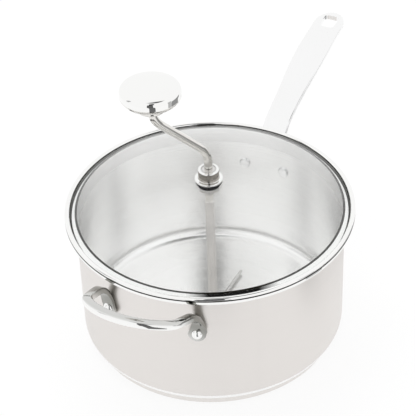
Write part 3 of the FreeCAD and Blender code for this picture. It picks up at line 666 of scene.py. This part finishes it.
def band_outline(sizes):
    """Half section of the band: bead over the glass's edge, groove, seat on the rim, leg, skirt."""
    wide, skirt, lip, sheet = sizes.band_radius, sizes.skirt_radius, sizes.band_lip, sizes.band_sheet
    seat_z, foot, top = high("pot_body").z, low("lid_band").z, high("lid_band").z
    under_radius = sizes.dome_radius - sizes.glass_thickness
    middle_z = sizes.dome_top - sizes.dome_radius
    lip_z = middle_z + math.sqrt(sizes.dome_radius ** 2 - lip ** 2) + sizes.lip_gap
    leg_z = middle_z + math.sqrt(under_radius ** 2 - skirt ** 2)
    crown = (lip + wide) / 2
    bead_z, side_z = top - 1.6 * MM, top - 4.3 * MM
    groove_top, groove_z, groove_foot = bead_z - 0.4 * MM, bead_z - 1.1 * MM, bead_z - 1.8 * MM
    hollow_wall, under_z = wide - 2.1 * MM, sizes.dome_top - sizes.glass_thickness - 0.04 * MM
    seat_round, bend, skirt_edge = 2.2 * MM, 0.5 * MM, 0.38 * MM
    outline = arc((lip, lip_z), (crown, top), (wide, bead_z), 16)
    outline += arc((wide, groove_top), (wide - 0.9 * MM, groove_z), (wide, groove_foot), 10)
    outline += supported(rounded([
        (wide, side_z, 0),
        (wide, seat_z, seat_round),
        (wide - 5.15 * MM, seat_z, 0.6 * MM),
        (skirt + 0.9 * MM, leg_z - 1.4 * MM, bend),
        (skirt, leg_z - 1.9 * MM, bend),
        (skirt, foot, skirt_edge),
        (skirt - sheet, foot, skirt_edge),
        (skirt - sheet, leg_z - 0.2 * MM, 0.15 * MM),
        (skirt + 0.3 * MM, leg_z - 0.24 * MM, 0)], 5), FINE_SUPPORT)
    outline += dome(skirt + 0.5 * MM, HOLLOW_START, under_z, under_radius, 10)
    outline += [(wide - 2.9 * MM, seat_z + 1.1 * MM), (hollow_wall, side_z)]
    outline += arc((hollow_wall, groove_top), (crown, top - sheet),
                   (lip + 0.5 * MM, lip_z - 0.5 * sheet), 10)
    return outline


class POPPER_OT_band(bpy.types.Operator):
    """Turn the rolled band: lip on the glass, bead, flange on the rim and skirt inside the pan"""
    bl_idname = "popper.band"
    bl_label = "Lid Band"

    def execute(self, context):
        sizes = context.scene.popper_lid
        colours = context.scene.popper_finish
        band = turn("lid_rim_band", band_outline(sizes))
        chrome = mirror_metal("band_chrome", colours.chrome)
        satin = brushed_metal("skirt_steel", colours.skirt_steel, (0.30, 0.42), FINE_GROOVE)
        shade_paint = brushed_metal("band_painted_shade", colours.recess_painted_shade, (0.45, 0.6))
        seat(band, "lid", ["lid_band"], [chrome, satin, shade_paint])
        seat_z, top = high("pot_body").z, high("lid_band").z
        wide, leg = sizes.band_radius, sizes.skirt_radius + 0.3 * MM
        paint(band, 1, lambda spot, normal: spot.xy.length < leg and spot.z < seat_z + 3.2 * MM)

        def in_groove(spot, normal):
            below_bead = top - 3.5 * MM < spot.z < top - 1.9 * MM
            return below_bead and spot.xy.length < wide - 0.02 * MM

        def in_hollow(spot, normal):
            inside = HOLLOW_START - 0.3 * MM < spot.xy.length < wide - 1.9 * MM
            turned_in = normal.z < 0 or spot.z < top - 2.5 * MM
            return inside and turned_in and spot.z > seat_z + 0.7 * MM

        # Painted shade: the groove and the hollow take the near-black steel.
        paint(band, 2, in_groove)
        paint(band, 2, in_hollow)
        return {"FINISHED"}


class POPPER_OT_bearing(bpy.types.Operator):
    """Turn the flanged collar and finish the seals, washers, nut, liners and clips"""
    bl_idname = "popper.bearing"
    bl_label = "Bearing"

    def execute(self, context):
        colours = context.scene.popper_finish
        foot, top = low("bearing_collar").z, high("bearing_collar").z
        flange_z = high("collar_gasket").z
        flange_top, cup_z, mouth_z = flange_z + 2.0 * MM, top - 2.5 * MM, foot + 2 * MM
        flange, barrel, cup = high("bearing_collar").x, 9.5 * MM, 6.8 * MM
        sleeve, bore = 7.8 * MM, 6.2 * MM
        edge, round_edge, fine_edge = 0.3 * MM, 0.8 * MM, 0.1 * MM
        outline = supported(rounded([
            (bore, mouth_z, 0), (bore, foot, edge), (sleeve, foot, edge),
            (sleeve, flange_z, fine_edge), (flange, flange_z, 0.7 * MM),
            (flange - 0.1 * MM, flange_top, round_edge), (barrel, flange_top, round_edge),
            (barrel, top, 1.1 * MM), (cup, top, 0.4 * MM), (cup, cup_z, 0.2 * MM),
            (bore, cup_z, fine_edge), (bore, mouth_z, 0)], 6), FINE_SUPPORT)[:-1]
        collar = turn("crank_collar", outline, AROUND_COLLAR)
        seat(collar, "lid", ["bearing_collar"],
             [mirror_metal("collar_chrome", colours.chrome, (0.03, 0.07)),
              mirror_metal("collar_painted_shade", colours.collar_painted_shade, (0.06, 0.12))])
        # Painted shade: the barrel's side takes the darker copy of the chrome.
        paint(collar, 1, lambda spot, normal: spot.xy.length > barrel - 0.4 * MM
              and flange_top + 0.2 * MM < spot.z < top - 0.9 * MM)
        rubber = dull_material("seal_rubber", colours.rubber)
        fitting = brushed_metal("fitting_steel", (0.72, 0.71, 0.70), (0.2, 0.35))
        liner = dull_material("liner_nylon", (0.55, 0.54, 0.50))
        clip = brushed_metal("clip_steel", (0.42, 0.41, 0.40), (0.25, 0.4))
        coat(rubber, "collar_gasket", "lower_gasket")
        coat(fitting, "clamp_washer", "lock_nut", "rod_ring", "stop_washer", "knob_washer")
        coat(liner, "shaft_bush", "knob_bush")
        coat(clip, "rod_clip", "knob_clip", "hub_set_screw")
        return {"FINISHED"}


# -------------------- crank and knob

class POPPER_OT_crank(bpy.types.Operator):
    """Bend the crank's rod through its two turns, with the stud below and the spindle on top"""
    bl_idname = "popper.crank"
    bl_label = "Crank Rod"

    def execute(self, context):
        sizes = context.scene.popper_crank
        out = Vector((middle("knob_cap").x, middle("knob_cap").y, 0)).normalized()
        across = out.cross(UP)
        foot, top = low("crank_rod").z, high("crank_rod").z
        joint, shoulder = high("stirrer_shaft").z, low("knob_bush").z - 0.3 * MM
        low_bend_z, high_bend_z = joint + 53.6 * MM, shoulder - 13.2 * MM
        reach = out * sizes.throw
        corners = [UP * joint, UP * low_bend_z, reach + UP * high_bend_z, reach + UP * shoulder]
        frames = bent_frames(corners, [sizes.low_bend, sizes.high_bend], across, 16)
        shrink = sizes.spindle_radius / sizes.rod_radius
        stud = frame_at(UP * foot, UP, across)
        step = frame_at(UP * joint, UP, across)
        piece = open_piece("crank_bar", bpy.ops.mesh.primitive_circle_add, vertices=AROUND_ROD,
                           radius=sizes.spindle_radius, fill_type="TRIFAN",
                           location=stud.translation, rotation=stud.to_euler())
        bpy.ops.object.mode_set(mode="OBJECT")
        apply_place()
        carry(stud, step)
        carry(step, step, (1 / shrink, 1 / shrink))
        for old, new in zip([step] + frames[1:], frames[1:]):
            carry(old, new)
        spindle = frames[-1]
        tip = spindle.copy()
        tip.translation = reach + UP * top
        carry(spindle, spindle, (shrink, shrink))
        carry(spindle, tip)
        bpy.ops.mesh.edge_face_add()
        close_piece(piece, sharp=40)
        # The rod takes the darker copy of the chrome: painted shade.
        rod_chrome = context.scene.popper_finish.rod_chrome
        seat(piece, "crank", ["crank_rod"],
             [mirror_metal("rod_chrome", rod_chrome, (0.03, 0.08), 0.003 * MM)])
        return {"FINISHED"}


def knob_cap_outline(radius, top, seam, sheet):
    """Half section of the knob's crowned cap, from its underside's middle round to its top's."""
    brow, brow_z = 23.6 * MM, top - 3.5 * MM
    bevel = 0.25 * MM
    # The arc ends just past the axis, and that end gives way to the pole.
    crown = arc((brow, brow_z), (12 * MM, top - 0.86 * MM), (-0.0001 * MM, top), 12)[:-1]
    edge = arc((radius, top - 7.8 * MM), (radius - 0.6 * MM, top - 5.3 * MM), (brow, brow_z), 10)
    under = dome(0.5 * MM, radius - 3.4 * MM, top - sheet, 90 * MM, 6)
    outline = [(0, top - sheet)] + under
    outline += arc(under[-1], (radius - 1.5 * MM, top - 6.2 * MM),
                   (radius - sheet, top - 8.6 * MM), 6)[1:]
    outline += [(radius - sheet, seam), (radius - bevel, seam), (radius, seam + bevel)]
    return outline + edge + crown[1:] + [(0, top)]


def knob_bowl_outline(radius, seam, foot, sheet):
    """Half section of the knob's bowl, from the seam down to the neck's bore and back up inside."""
    neck, neck_top = 12.5 * MM, foot + 4.8 * MM
    shoulder = neck + 0.6 * MM
    bore, pocket, pocket_z = 4.35 * MM, 7.0 * MM, foot + 2.6 * MM
    waist = (radius - 6.6 * MM, seam - 6.6 * MM)
    inner_waist = (radius - 7.2 * MM, seam - 5.6 * MM)
    bevel, fine_edge = 0.25 * MM, 0.1 * MM
    outline = [(radius - bevel, seam)]
    outline += arc((radius, seam - bevel), (radius - 2.2 * MM, seam - 3.6 * MM), waist, 10)
    outline += arc(waist, (neck + 3.2 * MM, neck_top + 1.3 * MM), (shoulder, neck_top), 8)[1:]
    outline += supported(rounded([
        (shoulder, neck_top, 0), (neck, neck_top - 0.9 * MM, 0.3 * MM), (neck, foot, 1.1 * MM),
        (bore, foot, 0.3 * MM), (bore, pocket_z, fine_edge), (pocket, pocket_z, fine_edge),
        (pocket, neck_top + 1.2 * MM, 0)], 6), FINE_SUPPORT)[1:]
    outline += arc((neck, neck_top + 1.4 * MM), (neck + 3.5 * MM, neck_top + 2.6 * MM),
                   inner_waist, 6)
    outline += arc(inner_waist, (radius - 3.2 * MM, seam - 3.0 * MM), (radius - sheet, seam), 8)[1:]
    return outline


class POPPER_OT_knob(bpy.types.Operator):
    """Turn the knob's crowned cap and its bowl with the short neck"""
    bl_idname = "popper.knob"
    bl_label = "Knob"

    def execute(self, context):
        radius = context.scene.popper_crank.knob_radius
        colours = context.scene.popper_finish
        centre = tuple(middle("knob_cap").xy)
        top, seam, foot = high("knob_cap").z, low("knob_cap").z, low("knob_base").z
        sheet = 1.0 * MM
        finish = {"roughness": (0.02, 0.05), "wave": 0.006 * MM, "wave_scale": 40}
        cap_outline = knob_cap_outline(radius, top, seam, sheet)
        cap = turn("knob_crown", cap_outline, AROUND_KNOB, centre)
        seat(cap, "knob", ["knob_cap"],
             [mirror_metal("knob_chrome", colours.chrome, **finish)])
        bowl_outline = knob_bowl_outline(radius, seam, foot, sheet)
        bowl = turn("knob_bowl", bowl_outline, AROUND_KNOB, centre)
        # The bowl takes the darker copy of the chrome: painted shade under the knob's cap.
        seat(bowl, "knob", ["knob_base"],
             [mirror_metal("bowl_chrome_painted_shade", colours.rod_chrome, **finish)])
        return {"FINISHED"}


# -------------------- stirrer

class POPPER_OT_stirrer(bpy.types.Operator):
    """Finish the stirrer's shaft, hub and wires"""
    bl_idname = "popper.stirrer"
    bl_label = "Stirrer"

    def execute(self, context):
        shaft = brushed_metal("shaft_steel", (0.74, 0.72, 0.70), (0.14, 0.26))
        wire = mirror_metal("wire_steel", (0.78, 0.77, 0.76), (0.12, 0.22))
        coat(shaft, "stirrer_shaft", "stirrer_hub")
        coat(wire, "sweep_wire", "lift_wire")
        return {"FINISHED"}


# -------------------- handles

class POPPER_OT_long_handle(bpy.types.Operator):
    """Finish the long handle and its rivets"""
    bl_idname = "popper.long_handle"
    bl_label = "Long Handle"

    def execute(self, context):
        steel = context.scene.popper_finish.polished_steel
        coat(long_grain_metal("handle_steel", steel, (0.10, 0.18)), "main_handle")
        coat(mirror_metal("rivet_steel", steel, (0.14, 0.24)), "main_handle_rivets")
        return {"FINISHED"}


LOOP_SLOPE = math.tan(math.radians(23.4))
LOOP_REACH, LOOP_TOP = 172.85 * MM, 141.6 * MM
LOOP_MIDDLE = LOOP_TOP - LOOP_REACH * LOOP_SLOPE
# From this reach on the bar lies level across the loop.
LEVEL_REACH = 0.135
# Direction, span along it and greatest share of each part of the helper handle's painted shade.
PAINTED_HANDLE_SHADES = (((0, LOOP_SLOPE, 1), (LOOP_MIDDLE + 0.2 * MM, LOOP_MIDDLE + 2.0 * MM), 0.45),
               ((0, 1, 0.6), (-76 * MM, -56 * MM), 1.0))


def on_loop(side, reach):
    """Point on the sloping plane of the helper handle's loop."""
    return Vector((-side, -reach, LOOP_TOP + (reach - LOOP_REACH) * LOOP_SLOPE))


def helper_frames(sizes, wall_radius, steps=12):
    """Frames from a lug's foot up the stem and round half of the loop, with the bar's sizes."""
    lug_radius, lug_thickness = sizes.lug_radius, sizes.lug_thickness
    rivet_z = low("helper_handle").z + lug_radius
    lug_middle = wall_radius + lug_thickness / 2
    turn_in = math.asin(43.0 * MM / (wall_radius + lug_thickness))
    stem_foot = Vector((-43.4 * MM, -115 * MM, 96 * MM))
    half = [stem_foot, on_loop(45.4 * MM, 115 * MM), on_loop(41.4 * MM, 154.6 * MM)]
    other = [Vector((-point.x, point.y, point.z)) for point in reversed(half)]
    bends = [sizes.elbow, sizes.corner, sizes.front, sizes.corner, sizes.elbow]
    path = bent_frames(half + [on_loop(0, 192.3 * MM)] + other, bends, (-1, 0, 0), steps)
    outward = Vector((-math.sin(turn_in), -math.cos(turn_in), 0))
    across = Vector((-math.cos(turn_in), math.sin(turn_in), 0))
    frames, spans = [], []
    for degrees in range(10, 91, 10):
        turn_up = math.radians(degrees)
        place = outward * lug_middle + UP * (rivet_z - lug_radius * math.cos(turn_up))
        frames.append(frame_at(place, UP, across))
        spans.append((2 * lug_radius * math.sin(turn_up), lug_thickness))
    blend_end = rivet_z + 19 * MM
    for stop in path[:len(path) // 2 + 1]:
        place = stop.translation
        along = stop.to_3x3().col[2]
        if place.y < -LEVEL_REACH:
            stop = frame_at(place, along, along.cross(UP))
        share = min(1, (place.z - rivet_z) / (blend_end - rivet_z))
        ease = share * share * (3 - 2 * share)
        frames.append(stop @ Matrix.Rotation(-turn_in * (1 - ease), 4, "Z"))
        spans.append((between(2 * lug_radius, sizes.bar_width, ease),
                      between(lug_thickness, sizes.bar_thickness, ease)))
    return frames, spans


class POPPER_OT_helper_handle(bpy.types.Operator):
    """Sweep the cast helper handle from its lug round half of the loop, and mirror it"""
    bl_idname = "popper.helper_handle"
    bl_label = "Helper Handle"

    def execute(self, context):
        colours = context.scene.popper_finish
        sizes = context.scene.popper_helper
        frames, spans = helper_frames(sizes, context.scene.popper_pan.wall_radius)
        handle = flat_bar("helper_loop", frames, spans, sizes.bar_crown, sizes.bar_edge)
        close_piece(handle, sharp=50)
        mirror = handle.modifiers.new("other_half", "MIRROR")
        mirror.use_axis = (True, False, False)
        mirror.merge_threshold = 0.01 * MM
        bpy.ops.object.modifier_apply(modifier=mirror.name)
        # The helper handle's chrome carries painted shade towards its lugs and on top of its loop.
        chrome = chrome_with_painted_shade("helper_chrome", colours.chrome, colours.handle_painted_shade)
        seat(handle, "pan", ["helper_handle"], [chrome])
        rivets = mirror_metal("helper_rivet_chrome", colours.chrome, (0.03, 0.07))
        coat(rivets, "helper_handle_rivets")
        return {"FINISHED"}


# -------------------- stage

CAMERA_PLACE = Vector((0.51104, -1.00663, 1.00994))
CAMERA_TARGET = Vector((-0.01743, 0.03054, 0.10500))
CAMERA_LENS, CAMERA_SENSOR = 137.73, 36.0
CAMERA_ROLL = math.radians(2.1247)
AHEAD = (CAMERA_TARGET - CAMERA_PLACE).normalized()
RIGHT = AHEAD.cross(UP).normalized()
TO_CAMERA = Vector((*(CAMERA_PLACE - CAMERA_TARGET).xy, 0)).normalized()
WHITE = (1.0, 1.0, 1.0, 1.0)
ROOM_LIGHT = 0.75
PAPER = (0.9, 0.9, 0.9, 1.0)
# The paper's own glow, and its share where the paper is seen.
PAPER_GLOW, PAPER_LIFT = 1.06, 0.80
FLOOR_HALF, FLOOR_DROP = 8.0, 0.2 * MM
LAMP_PLACE, LAMP_AIM = Vector((-0.5, 0.4, 1.9)), Vector((0, 0, 0.1))
LAMP_SIZE, LAMP_ENERGY = 1.4, 9.0
# The cards' distance from the object's middle, its height, and the gap under them.
FLAG_DISTANCE, FLAG_MIDDLE, FLAG_CLEAR = 2.5, 0.13, 1 * MM
FLAG_RUNS = 24
# The top card fades between these distances from its middle, and leans by so many degrees.
SOFT_EDGE = (0.40, 0.72)
TOP_LEAN = 7.0
TOP_GREY = 0.01
# Name, bearings and lifts in degrees, card and its grey.
FLAGS = (
    ("camera_flag", (-8, 14), (42, 64), "black_card", 0.01),
    ("camera_low_flag", (-13, 8), (-8, 42), "low_card", 0.12),
    ("camera_foot_flag", (-10, 11), (-20, -8), "foot_card", 0.15),
    ("low_flag", (75, 118), (-24, -2), "grey_card", 0.30),
    ("left_stand", (-90, -80), (12, 42), "left_card", 0.45),
    ("right_stand", (60, 74), (-28, 14), "right_card", 0.5))


def add_camera():
    data = bpy.data.cameras.new("camera")
    data.lens = CAMERA_LENS
    data.sensor_width = CAMERA_SENSOR
    data.clip_start = 0.05
    data.clip_end = 50.0
    camera = bpy.data.objects.new("camera", data)
    bpy.context.scene.collection.objects.link(camera)
    above = RIGHT.cross(AHEAD)
    cosine, sine = math.cos(CAMERA_ROLL), math.sin(CAMERA_ROLL)
    axes = (RIGHT * cosine - above * sine, RIGHT * sine + above * cosine, -AHEAD)
    camera.matrix_world = Matrix.Translation(CAMERA_PLACE) @ Matrix(axes).transposed().to_4x4()
    bpy.context.scene.camera = camera


def add_lamp():
    bpy.ops.object.light_add(type="AREA", location=LAMP_PLACE)
    lamp = bpy.context.object
    lamp.name = "soft_lamp"
    lamp.data.shape = "SQUARE"
    lamp.data.size = LAMP_SIZE
    lamp.data.energy = LAMP_ENERGY
    lamp.rotation_euler = (LAMP_AIM - lamp.location).to_track_quat("-Z", "Y").to_euler()
    lamp.visible_glossy = False
    lamp.visible_transmission = False


def seen_rays(tree):
    """1 for rays from the camera, off gloss and through glass, 0 for the rest."""
    path = add(tree, "LightPath").outputs
    direct = maths(tree, "MAXIMUM", path["Is Camera Ray"], path["Is Glossy Ray"])
    return maths(tree, "MAXIMUM", direct, path["Is Transmission Ray"])


def glow(tree, kind, colour, strength=1.0):
    return add(tree, kind, {"Color": colour, "Strength": strength}).outputs[0]


def add_world():
    """Plain light on the object, seen as white."""
    world = bpy.data.worlds.new("studio")
    bpy.context.scene.world = world
    world.use_nodes = True
    tree = world.node_tree
    tree.nodes.remove(tree.nodes["Background"])
    lit, white = glow(tree, "Background", WHITE, ROOM_LIGHT), glow(tree, "Background", WHITE)
    shown = mixed_shader(tree, seen_rays(tree), lit, white)
    feed(tree, shown, tree.nodes["World Output"].inputs["Surface"])


def floor_material():
    """White paper: lit by the lamp for the object's shadow, and lifted to white where seen."""
    material, tree = new_material("studio_floor")
    paper = tree.nodes["Principled BSDF"]
    paper.inputs["Base Color"].default_value = PAPER
    paper.inputs["Roughness"].default_value = 0.9
    paper.inputs["Specular IOR Level"].default_value = 0.1
    white = glow(tree, "Emission", WHITE, PAPER_GLOW)
    share = maths(tree, "MULTIPLY", seen_rays(tree), PAPER_LIFT)
    show(tree, mixed_shader(tree, share, paper.outputs["BSDF"], white))
    return material


def flag_material(name, grey, soft_from=None):
    """Plain card that shows as one grey in gloss, and may thin out away from a place."""
    material, tree = new_material(name)
    shown = glow(tree, "Emission", (grey, grey, grey, 1))
    if soft_from is not None:
        source = object_coordinates(tree)
        distance = maths(tree, "DISTANCE", source, soft_from, kind="VectorMath")
        fade = spread(tree, distance, SOFT_EDGE, (0.0, 1.0))
        clear = add(tree, "BsdfTransparent").outputs["BSDF"]
        shown = mixed_shader(tree, fade, shown, clear)
    show(tree, shown)
    return material


def add_flag(name, bearings, lifts, material, through_glass=False, lean=0.0):
    """Curved card round the object, between two bearings and two lifts, which only gloss sees.

    The bearings count from the camera's. The card's part below the level of the object's middle
    bends in to lie on the floor, and the whole card may lean to the camera's right.
    """
    bpy.ops.object.select_all(action="DESELECT")
    bpy.ops.mesh.primitive_grid_add(x_subdivisions=FLAG_RUNS, y_subdivisions=FLAG_RUNS, size=1)
    flag = bpy.context.object
    flag.name = name
    camera_bearing = math.atan2(TO_CAMERA.y, TO_CAMERA.x)
    leaned = Matrix.Rotation(math.radians(lean), 3, -TO_CAMERA)
    for vertex in flag.data.vertices:
        bearing = camera_bearing + math.radians(between(*bearings, vertex.co.x + 0.5))
        lift = math.radians(between(*lifts, vertex.co.y + 0.5))
        level = math.cos(lift)
        way = Vector((math.cos(bearing) * level, math.sin(bearing) * level, math.sin(lift)))
        distance = FLAG_DISTANCE
        if way.z < 0:
            distance = min(distance, (FLAG_MIDDLE - FLAG_CLEAR) / -way.z)
        vertex.co = leaned @ way * distance + UP * FLAG_MIDDLE
    flag.data.materials.append(material)
    flag.visible_camera = False
    flag.visible_diffuse = False
    flag.visible_shadow = False
    flag.visible_transmission = through_glass


class POPPER_OT_stage(bpy.types.Operator):
    """Set the floor, the plain studio light, the grey cards and the camera"""
    bl_idname = "popper.stage"
    bl_label = "Stage"

    def execute(self, context):
        context.scene.view_settings.view_transform = "Standard"
        bpy.ops.object.select_all(action="DESELECT")
        bpy.ops.mesh.primitive_plane_add(size=2 * FLOOR_HALF, location=(0, 0, -FLOOR_DROP))
        floor = context.object
        floor.name = "studio_floor"
        floor.data.materials.append(floor_material())
        lean = math.radians(TOP_LEAN)
        top_way = UP * math.cos(lean) + RIGHT * math.sin(lean)
        top_card = flag_material("top_card", TOP_GREY, top_way * FLAG_DISTANCE + UP * FLAG_MIDDLE)
        add_flag("top_flag", (0, 360), (73, 90), top_card, True, TOP_LEAN)
        for name, bearings, lifts, card, grey in FLAGS:
            add_flag(name, bearings, lifts, flag_material(card, grey))
        add_lamp()
        add_world()
        add_camera()
        return {"FINISHED"}


# -------------------- panel and registration

PIECE_OPERATORS = (
    POPPER_OT_pan, POPPER_OT_base, POPPER_OT_glass, POPPER_OT_band, POPPER_OT_bearing,
    POPPER_OT_crank, POPPER_OT_knob, POPPER_OT_stirrer, POPPER_OT_long_handle,
    POPPER_OT_helper_handle, POPPER_OT_stage)


class POPPER_PT_panel(bpy.types.Panel):
    """Lists the popper's pieces in the order in which they are made"""
    bl_idname = "POPPER_PT_panel"
    bl_label = "Popcorn Popper"
    bl_space_type = "VIEW_3D"
    bl_region_type = "UI"
    bl_category = "Popper"

    def draw(self, context):
        for operator in PIECE_OPERATORS:
            self.layout.operator(operator.bl_idname)


GROUPS = {
    "popper_pan": PopperPanSizes, "popper_lid": PopperLidSizes, "popper_crank": PopperCrankSizes,
    "popper_helper": PopperHelperSizes, "popper_finish": PopperFinish}


def register():
    for group in GROUPS.values():
        bpy.utils.register_class(group)
    for kind in (*PIECE_OPERATORS, POPPER_PT_panel):
        bpy.utils.register_class(kind)
    for name, group in GROUPS.items():
        setattr(bpy.types.Scene, name, PointerProperty(type=group))


def unregister():
    for name in GROUPS:
        delattr(bpy.types.Scene, name)
    for kind in (POPPER_PT_panel, *reversed(PIECE_OPERATORS), *GROUPS.values()):
        bpy.utils.unregister_class(kind)


def main():
    register()
    for operator in PIECE_OPERATORS:
        group, name = operator.bl_idname.split(".")
        getattr(getattr(bpy.ops, group), name)()


if __name__ == "__main__":
    main()
